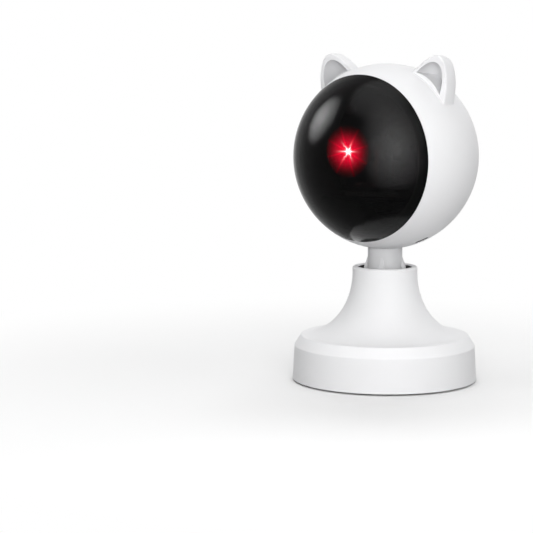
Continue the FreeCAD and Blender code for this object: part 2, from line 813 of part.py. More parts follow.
cover_head_y = cover_seat_y + cover_seat_thick
control_back_y = control_board_y + board_thick
button_flange_y = control_back_y + tact_height + tact_plunger + button_travel + slip_gap / 2
button_flange_back_y = button_flange_y + button_flange_thick


def polar(radius, angle):
    """A place on a half plane through the window's axis, by its distance and its angle from that axis."""
    a = math.radians(angle)
    return at(0, -radius * math.cos(a), radius * math.sin(a))


def wall(*arcs):
    """A spherical wall from the arcs round its section: each a radius and two angles from the window."""
    edges = []
    for i, (radius, first, last) in enumerate(arcs):
        middle = (first + last) / 2
        edges.append(Part.Arc(polar(radius, first), polar(radius, middle), polar(radius, last)).toShape())
        next_radius, next_first, _ = arcs[(i + 1) % len(arcs)]
        edges += lines([polar(radius, last), polar(next_radius, next_first)])
    return Part.Face(Part.Wire(edges)).revolve(HEAD, BACK, 360)


def ball_cut(radius):
    return Part.makeSphere(radius, HEAD)


def chassis_boss(x, z, radius):
    length = seam_y - chassis_boss_end_gap - chassis_back_y
    return cylinder(at(x, chassis_back_y, z), BACK, radius, length).common(ball_cut(skin_radius))


def head_shell():
    ledge_first, ledge_last = window_angle - ledge_under_angle, window_angle + ledge_root_angle
    body = wall((head_radius, window_angle, seam_angle), (inner_radius, seam_angle, ledge_last),
                (ledge_inner_radius, ledge_last, ledge_first),
                (ledge_inner_radius + ledge_thick, ledge_first, window_angle))
    neck_z = head_z - skin_radius
    neck = cylinder(V(0, 0, neck_z), UP, neck_boss_radius, spigot_top_z - neck_z)
    neck = neck.cut(switch_block(switch_length + 2 * slip_gap, switch_width + 2 * slip_gap,
                                 switch_face - switch_depth - slip_gap, switch_face))
    hook_place = switch_length / 2 + hook_thick / 2 + slip_gap
    pad = switch_block(2 * (hook_place + hook_thick / 2 + switch_pad_margin),
                       switch_width + 2 * switch_pad_side, switch_face, skin_radius)
    hooks = [switch_block(hook_thick, switch_width, switch_face - hook_length, switch_face + hook_root,
                          s * hook_place) for s in (-1, 1)]
    bosses = [chassis_boss(x, z, chassis_boss_radius) for x, z in chassis_boss_places]
    ears = [ear(side).cut(ball_cut(inner_radius)) for side in (-1, 1)]
    body = joined(body, *ears)
    body = body.makeFillet(ear_root_round, edges_near(body, is_ear_root))
    body = joined(body, neck, pad, *hooks, *bosses)
    bottom = head_z - head_radius - past
    body = body.cut(cylinder(V(0, 0, bottom), UP, stem_radius + slip_gap, shoulder_z - bottom))
    body = body.cut(cylinder(V(0, 0, bottom), UP, spigot_radius + turning_gap, spigot_top_z + past - bottom))
    body = body.cut(switch_oval(slot_length, slot_width, switch_face - past, head_radius + past))
    for x, z in chassis_boss_places:
        depth = chassis_screw_length - chassis_thick + screw_end_gap
        body = body.cut(cylinder(at(x, chassis_back_y, z), BACK, screw_radius, depth))
    return body


def front_window():
    gap = math.degrees(window_gap / head_radius)
    return wall((head_radius, 0, window_angle - gap), (head_radius - window_thick, window_angle - gap, 0))


def rear_cover():
    lip_radius = inner_radius - slip_gap
    lip_first, lip_last = seam_angle - lip_under_angle, seam_angle + lip_root_angle
    edge = seam_angle + math.degrees(window_gap / head_radius)
    body = wall((head_radius, edge, 180), (inner_radius, 180, lip_last),
                (lip_radius - ledge_thick, lip_last, lip_first), (lip_radius, lip_first, edge))
    skin = ball_cut(skin_radius)
    seats = [cylinder(at(x, cover_seat_y, z), BACK, cover_seat_radius, reach).common(skin)
             for x, z in cover_post_places]
    pad_radius = button_flange + button_pad_margin
    pad = cylinder(at(0, button_flange_back_y, 0), BACK, pad_radius, reach).common(skin)
    posts = [cylinder(at(x, control_back_y, z), BACK, control_post_radius, reach).common(skin)
             for x, z in control_hole_places]
    body = joined(body, pad, *seats, *posts)
    for x, z in chassis_boss_places:
        body = body.cut(cylinder(at(x, 0, z), BACK, chassis_boss_radius + head_clearance, seam_y))
    for x, z in cover_post_places:
        body = body.cut(cylinder(at(x, cover_seat_y - past, z), BACK, screw_radius + hole_gap, reach))
        body = body.cut(cylinder(at(x, cover_head_y, z), BACK, screw_head_radius + hole_gap, reach))
    for x, z in control_hole_places:
        depth = control_screw_length - board_thick + screw_end_gap
        body = body.cut(cylinder(at(x, control_back_y, z), BACK, small_screw_radius, depth))
    body = body.cut(cylinder(at(0, button_flange_y, 0), BACK, button_radius + button_gap, reach))
    body = body.cut(cylinder(at(0, control_board_y, light_z), BACK, light_radius + slip_gap, reach))
    return body.cut(usb_block(usb_gap, control_back_y, head_radius + past))


def rear_cover_screws():
    return Part.makeCompound([screw(at(x, cover_head_y - cover_screw_length, z), BACK, cover_screw_length)
                              for x, z in cover_post_places])


# ---- Frame, boards and battery ----
shelf_top_z = shelf_inset - head_radius
shelf_bottom_z = shelf_top_z - shelf_thick
pan_motor_place = at(gear_distance, pan_y, shelf_bottom_z)      # the middle of the motor's top
pan_motor_side = math.hypot(gear_distance, pan_y) + pan_motor_radius
pan_motor_depth = math.sqrt(ledge_inner_radius ** 2 - pan_motor_side ** 2) - pan_motor_end_gap
pan_motor_length = pan_motor_depth + shelf_bottom_z
tray_front_y = main_board_y + board_thick
battery_back_y = tray_front_y + tray_wall + battery_thick
battery_half_x, battery_half_z = head_radius - battery_side, head_radius - battery_drop


def chassis():
    body = cylinder(at(0, chassis_front_y, 0), BACK, chassis_radius, chassis_thick)
    low = box(at(-chassis_radius - past, chassis_front_y, -chassis_radius - past),
              at(chassis_radius + past, chassis_back_y, chassis_bottom_inset - head_radius))
    shelf = box(at(-shelf_half_width, shelf_front_y, shelf_bottom_z),
                at(shelf_half_width, chassis_back_y, shelf_top_z))
    webs = [box(at(x, chassis_front_y - web_reach, shelf_top_z),
                at(x + web_thick, chassis_back_y, shelf_top_z + web_height))
            for x in (-shelf_half_width, shelf_half_width - web_thick)]
    pin_boss = cylinder(at(0, pan_y, shelf_bottom_z), -UP, pan_boss_radius, pan_boss_height)
    sleeve = cylinder(pan_motor_place, -UP, pan_motor_radius + sleeve_wall, pan_sleeve_height)
    posts = [cylinder(at(x, chassis_front_y, z), BACK, cover_post_radius, cover_seat_y - chassis_front_y)
             for x, z in cover_post_places]
    standoffs = [cylinder(at(x, chassis_front_y, z), BACK, standoff_radius, main_board_y - chassis_front_y)
                 for x, z in main_hole_places]
    body = joined(body.cut(low), shelf, pin_boss, sleeve, *webs, *posts, *standoffs)
    body = body.cut(cylinder(pan_motor_place, -UP, pan_motor_radius + grip_gap, pan_motor_length))
    body = body.cut(cylinder(pan_motor_place, UP, motor_nose_radius + slip_gap, shelf_thick))
    body = body.cut(cylinder(at(0, pan_y, shelf_top_z), -UP, pan_pin_radius, reach))
    for x, z in chassis_boss_places:
        body = body.cut(cylinder(at(x, chassis_front_y, z), BACK, screw_radius + hole_gap, chassis_thick))
    for x, z in cover_post_places:
        depth = cover_screw_length - cover_seat_thick + screw_end_gap
        body = body.cut(cylinder(at(x, cover_seat_y, z), -BACK, screw_radius, depth))
    for x, z in main_hole_places:
        depth = main_screw_length - board_thick + screw_end_gap
        body = body.cut(cylinder(at(x, main_board_y, z), -BACK, small_screw_radius, depth))
    opening = cylinder(at(0, chassis_front_y, chassis_hole_z), BACK, chassis_hole_radius, chassis_thick)
    return body.cut(opening)


def chassis_screws():
    tip_y = chassis_front_y + chassis_screw_length
    return Part.makeCompound([screw(at(x, tip_y, z), -BACK, chassis_screw_length)
                              for x, z in chassis_boss_places])


def drilled_board(half_x, half_z, y, holes):
    board = box(at(-half_x, y, -half_z), at(half_x, y + board_thick, half_z))
    for x, z in holes:
        board = board.cut(cylinder(at(x, y, z), BACK, small_screw_radius + hole_gap, board_thick))
    return board


def main_board():
    y = main_board_y
    board = drilled_board(main_board_half_x, main_board_half_z, y, main_hole_places)
    chips = [box(at(x, y - thick, z), at(x + wide, y + chip_root, z + tall))
             for x, z, wide, tall, thick in chip_boxes]
    return joined(board, *chips)


def main_board_screws():
    seat = main_board_y + board_thick
    return Part.makeCompound([small_screw(at(x, seat - main_screw_length, z), BACK, main_screw_length)
                              for x, z in main_hole_places])


def clear_of_board_screws(body):
    """The body with room for the heads of the main board's screws."""
    for x, z in main_hole_places:
        room = cylinder(at(x, main_board_y, z), BACK, small_head_radius + head_clearance,
                        board_thick + small_head_height + head_clearance)
        body = body.cut(room)
    return body


def battery_tray():
    half_x, half_z = battery_half_x + tray_wall, battery_half_z + tray_wall
    outer = box(at(-half_x, tray_front_y, -half_z), at(half_x, battery_back_y - tray_rim_drop, half_z))
    half_x, half_z = battery_half_x + slip_gap, battery_half_z + slip_gap
    inner = box(at(-half_x, tray_front_y + tray_wall, -half_z), at(half_x, battery_back_y, half_z))
    return clear_of_board_screws(outer.cut(inner))


def battery():
    body = box(at(-battery_half_x, battery_back_y - battery_thick, -battery_half_z),
               at(battery_half_x, battery_back_y, battery_half_z))
    body = body.makeFillet(battery_round, edges_near(body, lambda e: e.BoundBox.YLength > past))
    return clear_of_board_screws(body)


def control_board():
    return drilled_board(control_board_half_x, control_board_half_z, control_board_y, control_hole_places)


def control_board_screws():
    tip_y = control_board_y + control_screw_length
    return Part.makeCompound([small_screw(at(x, tip_y, z), -BACK, control_screw_length)
                              for x, z in control_hole_places])


def tact_switch():
    y = control_back_y
    body = box(at(-tact_half, y, -tact_half), at(tact_half, y + tact_height, tact_half))
    return joined(body, cylinder(at(0, y, 0), BACK, tact_plunger_radius, tact_height + tact_plunger))


def usb_block(gap, first_y, last_y):
    half = usb_half_height + gap
    straight = usb_half_width - usb_half_height
    body = box(at(-straight, first_y, usb_z - half), at(straight, last_y, usb_z + half))
    ends = [cylinder(at(s * straight, first_y, usb_z), BACK, half, last_y - first_y) for s in (-1, 1)]
    return joined(body, *ends)


def usb_port():
    mouth_y = math.sqrt(head_radius ** 2 - usb_z ** 2) - usb_inset
    back_y = mouth_y - usb_mouth_depth
    body = usb_block(0.0, control_back_y, mouth_y)
    body = body.cut(usb_block(-usb_wall, back_y, mouth_y + past))
    half = usb_tongue_thick / 2
    tongue = box(at(-usb_tongue_half, back_y - usb_wall, usb_z - half),
                 at(usb_tongue_half, mouth_y - usb_tongue_inset, usb_z + half))
    return joined(body, tongue)


def status_light():
    y = control_back_y
    tip = math.sqrt(head_radius ** 2 - light_z ** 2) - light_inset
    foot = box(at(-light_foot_half_x, y, light_z - light_foot_half_z),
               at(light_foot_half_x, y + light_foot_thick, light_z + light_foot_half_z))
    return joined(foot, cylinder(at(0, y, light_z), BACK, light_radius, tip - y))


def mode_button():
    y = button_flange_y
    body = cylinder(at(0, y, 0), BACK, button_flange, button_flange_thick)
    cap = cylinder(at(0, y, 0), BACK, button_radius, head_radius + button_stand - y)
    cap = cap.makeFillet(button_round, edges_near(cap, lambda e: e.BoundBox.YMin > head_radius))
    return joined(body, cap)


# ---- Laser turret ----
gear_z = shelf_top_z + wheel_lift
yoke_z = gear_z + gear_width + yoke_lift
yoke_top_z = yoke_z + yoke_plate_thick
tilt_motor_y = pan_y + gear_distance
cheek_outer = cheek_inner + cheek_thick
yoke_screw_places = [at(s * yoke_screw_x, pan_y, yoke_z) for s in (-1, 1)]


def pan_motor():
    body = cylinder(pan_motor_place, -UP, pan_motor_radius, pan_motor_length)
    nose = cylinder(pan_motor_place - UP * motor_nose_root, UP, motor_nose_radius,
                    motor_nose_root + motor_nose_height)
    bore = cylinder(pan_motor_place - UP * pan_shaft_depth, UP, motor_shaft_radius + bore_gap, reach)
    return joined(body, nose).cut(bore)


def pan_motor_shaft():
    low = pan_motor_place - UP * (pan_shaft_depth - shaft_end_gap)
    return cylinder(low, UP, motor_shaft_radius, head_z + gear_z + gear_width - low.z)


def pan_pinion():
    return moved(pinion(), at(gear_distance, pan_y, gear_z))


def pan_gear():
    bore = pan_pin_radius + bore_gap
    wheel = moved(gear(gear_teeth, gear_width, bore), at(0, pan_y, gear_z))
    hub_z = gear_z + gear_width / 2
    wheel = joined(wheel, ring(at(0, pan_y, hub_z), UP, pan_hub_radius, bore, yoke_z - hub_z))
    for place in yoke_screw_places:
        wheel = wheel.cut(cylinder(place, -UP, small_screw_radius, reach))
    return wheel


def pan_shaft():
    low = shelf_bottom_z - pan_boss_height
    top = yoke_top_z + yoke_lift
    return joined(cylinder(at(0, pan_y, low), UP, pan_pin_radius, top - low),
                  cylinder(at(0, pan_y, top), UP, pan_head_radius, pan_head_height))


def yoke():
    back_y = tilt_motor_y + yoke_back
    plate = box(at(-cheek_outer, pan_y - yoke_front, yoke_z), at(cheek_outer, back_y, yoke_top_z))
    right = box(at(cheek_inner, pan_y - cheek_half, yoke_z), at(cheek_outer, pan_y + cheek_half, tilt_z))
    left = box(at(-cheek_outer, pan_y - cheek_half, yoke_z), at(-cheek_inner, back_y, tilt_z))
    tops = [cylinder(at(x, pan_y, tilt_z), LEFT, cheek_half, cheek_thick)
            for x in (-cheek_outer, cheek_inner)]
    sleeve = cylinder(at(-cheek_outer, tilt_motor_y, tilt_z), LEFT, tilt_motor_radius + sleeve_wall,
                      tilt_sleeve_length)
    foot_end = tilt_sleeve_length - cheek_outer
    foot = box(at(-cheek_outer, tilt_motor_y - tilt_foot_half, yoke_z),
               at(foot_end, tilt_motor_y + tilt_foot_half, tilt_z - tilt_motor_radius))
    body = joined(plate, right, left, *tops, sleeve, foot)
    motor_bore = tilt_motor_radius + grip_gap
    body = body.cut(cylinder(at(-cheek_inner, tilt_motor_y, tilt_z), LEFT, motor_bore, reach))
    body = body.cut(cylinder(at(-reach, pan_y, tilt_z), LEFT, tilt_pin_radius + bore_gap, 2 * reach))
    body = body.cut(cylinder(at(0, pan_y, yoke_z), UP, pan_pin_radius + bore_gap, yoke_plate_thick))
    for place in yoke_screw_places:
        body = body.cut(cylinder(place, UP, small_screw_radius + hole_gap, yoke_plate_thick))
    return body


def yoke_screws():
    lift = UP * (yoke_plate_thick - yoke_screw_length)
    return Part.makeCompound([small_screw(place + lift, UP, yoke_screw_length)
                              for place in yoke_screw_places])


def tilt_motor():
    body = cylinder(at(-cheek_inner, tilt_motor_y, tilt_z), LEFT, tilt_motor_radius, tilt_motor_length)
    front_x = tilt_motor_length - cheek_inner
    bore = cylinder(at(front_x, tilt_motor_y, tilt_z), -LEFT, motor_shaft_radius + bore_gap, tilt_shaft_depth)
    return body.cut(bore)


def tilt_motor_shaft():
    start = tilt_motor_length - cheek_inner - tilt_shaft_depth + shaft_end_gap
    length = sector_inner + gear_width - start
    return cylinder(at(start, tilt_motor_y, tilt_z), LEFT, motor_shaft_radius, length)


def tilt_pinion():
    return turned_to(pinion(), at(sector_inner, tilt_motor_y, tilt_z), LEFT, BACK)


def tilt_sector():
    """The geared part of the cradle's wheel: a gear cut down to the teeth that the pinion reaches."""
    across = 2 * gear_radius(gear_teeth)
    wedge = Part.makeCylinder(across, gear_width, V(0, 0, 0), UP, 2 * sector_half_angle)
    wedge.rotate(V(0, 0, 0), UP, -sector_half_angle)
    wheel = gear(gear_teeth, gear_width, tilt_pin_radius).common(wedge)
    return turned_to(wheel, at(sector_inner, pan_y, tilt_z), LEFT, BACK)


def tilt_cradle():
    body = box(at(-sector_inner, pan_y - laser_front + cradle_setback, tilt_z - cradle_half),
               at(sector_inner, pan_y + laser_rear, tilt_z + cradle_half))
    body = body.makeFillet(cradle_round, edges_near(body, lambda e: e.BoundBox.YLength > past))
    hub = cylinder(at(sector_inner, pan_y, tilt_z), LEFT, tilt_hub_radius, gear_width)
    far_hub = cylinder(at(-sector_inner, pan_y, tilt_z), -LEFT, tilt_hub_radius,
                       cheek_inner - cradle_gap - sector_inner)
    body = joined(body, tilt_sector(), hub, far_hub)
    body = body.cut(cylinder(at(-reach, pan_y, tilt_z), LEFT, tilt_pin_radius, 2 * reach))
    return body.cut(cylinder(at(0, pan_y - laser_front, tilt_z), BACK, laser_radius + grip_gap, 2 * reach))


def tilt_axles():
    start = laser_radius + cradle_gap
    length = cheek_outer - start
    return Part.makeCompound([cylinder(at(s * start, pan_y, tilt_z), LEFT * s, tilt_pin_radius, length)
                              for s in (-1, 1)])


def laser_module():
    front = at(0, pan_y - laser_front, tilt_z)
    body = cylinder(front, BACK, laser_radius, laser_front + laser_rear)
    ends = edges_near(body, lambda e: is_circle(e) and e.BoundBox.YLength < 0.01)
    body = body.makeChamfer(laser_chamfer, ends)
    return body.cut(cylinder(front, BACK, lens_radius, lens_inset + lens_thick))


def laser_bezel():
    """A dark disc round the barrel's front, which hides the turret behind the window."""
    front = at(0, pan_y - laser_front - bezel_stand, tilt_z)
    return ring(front, BACK, bezel_radius, laser_radius + grip_gap, bezel_thick)


def laser_lens():
    return cylinder(at(0, pan_y - laser_front + lens_inset, tilt_z), BACK, lens_radius - grip_gap, lens_thick)


PARTS = [base_shell, base_plate, rubber_feet, base_screws, ballast_weight, ballast_screw,
         socket_retainer, retainer_screws, pressure_bush, pressure_cup, ball_seat, ball_stem,
         stem_washer, stem_screw, head_shell, front_window, rear_cover, rear_cover_screws, chassis,
         chassis_screws, main_board, main_board_screws, battery_tray, battery, control_board,
         control_board_screws, tact_switch, usb_port, status_light, mode_button, power_switch,
         power_slider, pan_motor, pan_motor_shaft, pan_pinion, pan_gear, pan_shaft, yoke, yoke_screws,
         tilt_motor, tilt_motor_shaft, tilt_pinion, tilt_cradle, tilt_axles, laser_module, laser_bezel,
         laser_lens]

os.makedirs("parts", exist_ok=True)
for make in PARTS:
    shape = make()
    shape.exportStep("parts/%s.step" % make.__name__)
    print(make.__name__, len(shape.Solids), "solids", round(shape.Volume, 1), "mm3", shape.isValid())
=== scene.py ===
import json
import math
import bpy
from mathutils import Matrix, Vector


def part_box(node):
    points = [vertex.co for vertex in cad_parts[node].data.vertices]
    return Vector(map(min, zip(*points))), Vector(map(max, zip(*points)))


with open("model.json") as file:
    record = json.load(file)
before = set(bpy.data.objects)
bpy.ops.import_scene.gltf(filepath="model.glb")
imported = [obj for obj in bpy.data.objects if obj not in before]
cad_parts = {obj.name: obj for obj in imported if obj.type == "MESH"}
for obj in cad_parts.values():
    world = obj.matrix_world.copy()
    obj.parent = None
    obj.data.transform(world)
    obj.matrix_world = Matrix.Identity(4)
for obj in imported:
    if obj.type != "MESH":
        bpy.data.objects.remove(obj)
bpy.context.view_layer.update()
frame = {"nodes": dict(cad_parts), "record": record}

# ---- Places, in metres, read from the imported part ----
window_low, window_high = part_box("front_window")
head_radius = -window_low.y
head_centre = Vector((0.0, 0.0, (window_low.z + window_high.z) / 2))
lens_low, lens_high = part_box("laser_lens")
beam = (lens_low + lens_high) / 2
bezel_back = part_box("laser_bezel")[1].y
collar_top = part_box("base_shell")[1].z

# the slide switch's slot: its middle at the knob's depth, and three directions
knob_low, knob_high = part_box("power_slider")
slide = next(j for j in frame["record"]["behaviour"]["joints"] if j["name"] == "power_slide")
slot_along = Vector(slide["axis"]).normalized()
slot_centre = (knob_low + knob_high) / 2 + slot_along * sum(slide["range_m"]) / 2
slot_out = slot_centre - head_centre
slot_out = (slot_out - slot_along * slot_out.dot(slot_along)).normalized()
slot_across = slot_out.cross(slot_along)

# ---- Where painted shade goes on a moulding, in metres ----
skin_edge = 0.00012          # how far off an outer face painted shade or the laser's glow starts or ends
slot_length = 0.0066         # a little over the slot's own size, to take in its sides
slot_width = 0.0034
slot_depth = 0.012           # each way from the slot's middle
collar_bore = 0.0115         # radius
collar_rim_round = 0.0005
ear_middles = [head_centre + Vector((side * 0.0269, -0.0015, 0.0361)) for side in (-1, 1)]
ear_reach = 0.013            # radius round an ear's middle that takes in its hollow

# ---- Camera ----
camera_place = Vector((0.5152, -0.6886, 0.159))
camera_turn = 40.238         # degrees to the left of looking along +Y
camera_dip = 7.259           # degrees below level
camera_lens = 134.41         # millimetres
camera_sensor = 36.0         # millimetres
camera_near, camera_far = 0.01, 20.0

# ---- Studio ----
ambient = 0.43               # strength of the room's even light
room_white = (1.0, 1.0, 1.0, 1.0)
lamps = [                    # name, azimuth, elevation, distance, width, brightness
    ("front_lamp", 43.0, 5.0, 0.45, 0.26, 7.95),
    ("left_lamp", -25.0, 8.0, 0.70, 0.32, 2.30),
    ("right_lamp", 105.0, 10.0, 0.70, 0.32, 1.60),
    ("wide_lamp", 44.0, 32.0, 1.00, 0.80, 0.35),
    ("top_lamp", 20.0, 82.0, 1.20, 0.70, 1.50),
    ("side_lamp", -78.0, 58.0, 1.10, 0.60, 1.20),
    ("back_lamp", -143.0, 52.0, 1.10, 0.70, 3.20),
    ("rear_lamp", 180.0, 14.0, 0.70, 0.34, 2.80),
]
cards = [                    # what the window's gloss shows: as above, then the spread in degrees
    ("side_card", -70.5, 28.5, 0.50, 0.39, 1.79, 43.0),
    ("low_card", 47.0, 0.0, 0.16, 0.31, 2.90, 78.0),
    ("high_card", 47.0, 33.0, 0.16, 0.31, 3.00, 78.0),
    ("top_card", 15.0, 76.0, 0.30, 0.34, 1.65, 90.0),
]
base_card_place = Vector((0.0108, -0.0036, 0.049))
base_card_width = 0.058
base_card_brightness = 3.00
widest_spread = 180.0
floor_reach = 3.0
floor_colour = 0.86          # as seen
floor_bounce = 0.20          # as it lights the toy
floor_fade_start, floor_fade_end = 0.07, 0.27        # metres from the toy's middle

# ---- Materials ----
shell_white = (0.82, 0.82, 0.83)
shell_roughness, shell_specular = 0.50, 0.25
plain_specular = 0.50
# the grey laid on the ear hollows is painted shade
ear_hollow_painted_shade = (0.65, 0.65, 0.66)
# the black on the slot's sides is painted shade
slot_painted_shade = (0.01, 0.01, 0.01)
# the black in the collar's bore is painted shade
bore_painted_shade = (0.02, 0.02, 0.02)
mouldings = [                # name, colour, roughness, specular level, the pieces in it
    ("white_shell", shell_white, shell_roughness, shell_specular, ("rear_cover", "base_plate")),
    # the stem's grey is partly its own darker tone and partly painted shade from the head above it
    ("stem_white", (0.58, 0.58, 0.59), shell_roughness, shell_specular, ("ball_stem",)),
    ("nylon", (0.74, 0.72, 0.66), 0.50, plain_specular,
     ("pressure_cup", "pan_gear", "pan_pinion", "tilt_pinion")),
    ("frame_black", (0.012, 0.012, 0.013), 0.50, plain_specular,
     ("chassis", "yoke", "tilt_cradle", "battery_tray", "socket_retainer", "tact_switch",
      "power_switch", "power_slider", "ball_seat")),
    ("circuit_board", (0.01, 0.09, 0.035), 0.35, plain_specular, ("main_board", "control_board")),
    ("cell_wrap", (0.35, 0.36, 0.38), 0.30, plain_specular, ("battery",)),
    ("button_grey", (0.62, 0.62, 0.63), 0.32, plain_specular, ("mode_button",)),
    ("light_pipe", (0.5, 0.85, 0.6), 0.20, plain_specular, ("status_light",)),
]
metals = [                   # name, colour, roughness, the pieces in it
    ("zinc_screw", (0.62, 0.62, 0.64), 0.32,
     ("base_screws", "ballast_screw", "retainer_screws", "stem_screw", "rear_cover_screws",
      "chassis_screws", "main_board_screws", "control_board_screws", "yoke_screws")),
    ("plated_steel", (0.5, 0.5, 0.51), 0.28,
     ("ballast_weight", "stem_washer", "pan_shaft", "tilt_axles", "pan_motor_shaft",
      "tilt_motor_shaft", "pan_motor", "tilt_motor", "usb_port")),
]
rubber_grey = (0.06, 0.06, 0.062)
rubber_roughness = 0.75
window_black = (0.0015, 0.0015, 0.0016)
window_ior = 1.12            # low, so that the white room doesn't turn its black grey
window_roughness = 0.12
window_roughness_low, window_roughness_high = 0.11, 0.14
window_cover = 0.82          # share of the light that each face of the dark window keeps back

# how uneven a surface is: scales in bumps per metre, depths in metres
usual_noise = (0.3, 0.7)     # where most of a noise's values lie
drift_scale, drift_share = 28.0, 0.02                # a moulding's colour
gloss_scale, gloss_span = 90.0, (0.9, 1.12)          # its roughness
grain_scale, grain_depth = 1500.0, 0.000012          # its skin
window_gloss_scale = 40.0
brushed_scale, brushed_span = 700.0, (0.75, 1.3)
metal_grain_scale, metal_grain_depth = 2600.0, 0.000006
rubber_mottle_scale, rubber_mottle_share = 400.0, 0.2
rubber_grain_scale, rubber_grain_depth = 2400.0, 0.00003

# the laser's star, on the front of its module
star_black = (0.01, 0.01, 0.01)
star_roughness = 0.50
star_squeeze = 0.85          # its distances across count as less than those up
core = (0.00098, 2.0, 2.4)   # reach in metres, steepness, strength
halo = (0.0057, 2.6, 0.90)
spikes = (6, 2.0, 18.0, 0.0017, 1.5, 3.0)            # count, turn in degrees, sharpness, then as for the core
long_rays = (8, 17.0, 150.0, 0.0047, 1.5, 1.5)
halo_green, halo_blue = 0.002, 0.035                 # against its red
star_nodes = ("laser_lens", "laser_module", "laser_bezel")


def add_camera():
    data = bpy.data.cameras.new("camera")
    data.lens = camera_lens
    data.sensor_width = camera_sensor
    data.clip_start, data.clip_end = camera_near, camera_far
    camera = bpy.data.objects.new("camera", data)
    bpy.context.scene.collection.objects.link(camera)
    camera.location = camera_place
    camera.rotation_euler = (math.radians(90.0 - camera_dip), 0.0, math.radians(camera_turn))
    bpy.context.scene.camera = camera


def toward(azimuth, elevation):
    """A direction from the head, its azimuth counted from -Y towards +X."""
    a, e = math.radians(azimuth), math.radians(elevation)
    return Vector((math.sin(a) * math.cos(e), -math.cos(a) * math.cos(e), math.sin(e)))


def add_lamp(name, azimuth, elevation, distance, width, brightness):
    """A round soft lamp that points at the head; its brightness is that of its face."""
    data = bpy.data.lights.new(name, "AREA")
    data.shape = "DISK"
    data.size = width
    data.energy = brightness * math.pi * math.pi * (width / 2) ** 2
    lamp = bpy.data.objects.new(name, data)
    bpy.context.scene.collection.objects.link(lamp)
    lamp.location = head_centre + toward(azimuth, elevation) * distance
    lamp.rotation_euler = (head_centre - lamp.location).to_track_quat("-Z", "Y").to_euler()
    lamp.visible_glossy = False
    return lamp


def add_card(receivers, name, azimuth, elevation, distance, width, brightness, spread):
    """A reflector with soft edges that only the receivers' gloss shows."""
    card = add_lamp(name, azimuth, elevation, distance, width, brightness)
    card.data.spread = math.radians(spread)
    card.visible_camera = card.visible_diffuse = False
    card.visible_glossy = True
    card.light_linking.receiver_collection = receivers
    return card


def add_cards():
    """The window's reflections; its lower part mirrors the base's pale top, here a disc that looks up."""
    window_only = bpy.data.collections.new("window_only")
    window_only.objects.link(frame["nodes"]["front_window"])
    for card in cards:
        add_card(window_only, *card)
    card = add_card(window_only, "base_card", 0.0, 0.0, 0.0, base_card_width, base_card_brightness,
                    widest_spread)
    card.location = base_card_place
    card.rotation_euler = (math.pi, 0.0, 0.0)


def seen_directly(tree):
    """1 for rays from the camera, a mirror or a clear body, else 0."""
    path = tree.nodes.new("ShaderNodeLightPath")
    total = path.outputs["Is Camera Ray"]
    for other in ("Is Glossy Ray", "Is Transmission Ray"):
        most = tree.nodes.new("ShaderNodeMath")
        most.operation = "MAXIMUM"
        tree.links.new(total, most.inputs[0])
        tree.links.new(path.outputs[other], most.inputs[1])
        total = most.outputs[0]
    return total


def add_room():
    """An even white room that shows at full white and lights the toy less."""
    world = bpy.data.worlds.new("room")
    bpy.context.scene.world = world
    world.use_nodes = True
    tree = world.node_tree
    tree.nodes.clear()
    even = tree.nodes.new("ShaderNodeBackground")
    even.inputs["Color"].default_value = room_white
    even.inputs["Strength"].default_value = ambient
    shown = tree.nodes.new("ShaderNodeBackground")
    shown.inputs["Color"].default_value = room_white
    shown.inputs["Strength"].default_value = 1.0
    mix = tree.nodes.new("ShaderNodeMixShader")
    out = tree.nodes.new("ShaderNodeOutputWorld")
    tree.links.new(seen_directly(tree), mix.inputs[0])
    tree.links.new(even.outputs[0], mix.inputs[1])
    tree.links.new(shown.outputs[0], mix.inputs[2])
    tree.links.new(mix.outputs[0], out.inputs["Surface"])


def add_floor():
    """A pale floor that takes the toy's shadow and turns into the white room further out."""
    mesh = bpy.data.meshes.new("floor")
    r = floor_reach
    mesh.from_pydata([(-r, -r, 0), (r, -r, 0), (r, r, 0), (-r, r, 0)], [], [(0, 1, 2, 3)])
    floor = bpy.data.objects.new("floor", mesh)
    bpy.context.scene.collection.objects.link(floor)
    material = bpy.data.materials.new("floor_white")
    material.use_nodes = True
    tree = material.node_tree
    tree.nodes.clear()
    matte = tree.nodes.new("ShaderNodeBsdfDiffuse")
    shade = tree.nodes.new("ShaderNodeMix")
    shade.data_type = "RGBA"
    shade.inputs["A"].default_value = (floor_bounce, floor_bounce, floor_bounce, 1.0)
    shade.inputs["B"].default_value = (floor_colour, floor_colour, floor_colour, 1.0)
    seen = seen_directly(tree)
    tree.links.new(seen, shade.inputs["Factor"])
    tree.links.new(shade.outputs["Result"], matte.inputs["Color"])
    glow = tree.nodes.new("ShaderNodeEmission")
    glow.inputs["Strength"].default_value = 1.0
    place = tree.nodes.new("ShaderNodeTexCoord")
    length = tree.nodes.new("ShaderNodeVectorMath")
    length.operation = "LENGTH"
    fade = tree.nodes.new("ShaderNodeMapRange")
    fade.interpolation_type = "SMOOTHSTEP"
    fade.inputs["From Min"].default_value = floor_fade_start
    fade.inputs["From Max"].default_value = floor_fade_end
    both = tree.nodes.new("ShaderNodeMath")
    both.operation = "MULTIPLY"
    mix = tree.nodes.new("ShaderNodeMixShader")
    out = tree.nodes.new("ShaderNodeOutputMaterial")
    tree.links.new(place.outputs["Object"], length.inputs[0])
    tree.links.new(length.outputs["Value"], fade.inputs["Value"])
    tree.links.new(fade.outputs["Result"], both.inputs[0])
    tree.links.new(seen, both.inputs[1])
    tree.links.new(both.outputs[0], mix.inputs[0])
    tree.links.new(matte.outputs[0], mix.inputs[1])
    tree.links.new(glow.outputs[0], mix.inputs[2])
    tree.links.new(mix.outputs[0], out.inputs["Surface"])
    mesh.materials.append(material)


def new_material(name, colour, roughness, metallic=0.0):
    material = bpy.data.materials.new(name)
    material.use_nodes = True
    shader = material.node_tree.nodes["Principled BSDF"]
    shader.inputs["Base Color"].default_value = (*colour, 1.0)
    shader.inputs["Roughness"].default_value = roughness
    shader.inputs["Metallic"].default_value = metallic
    return material, material.node_tree, shader


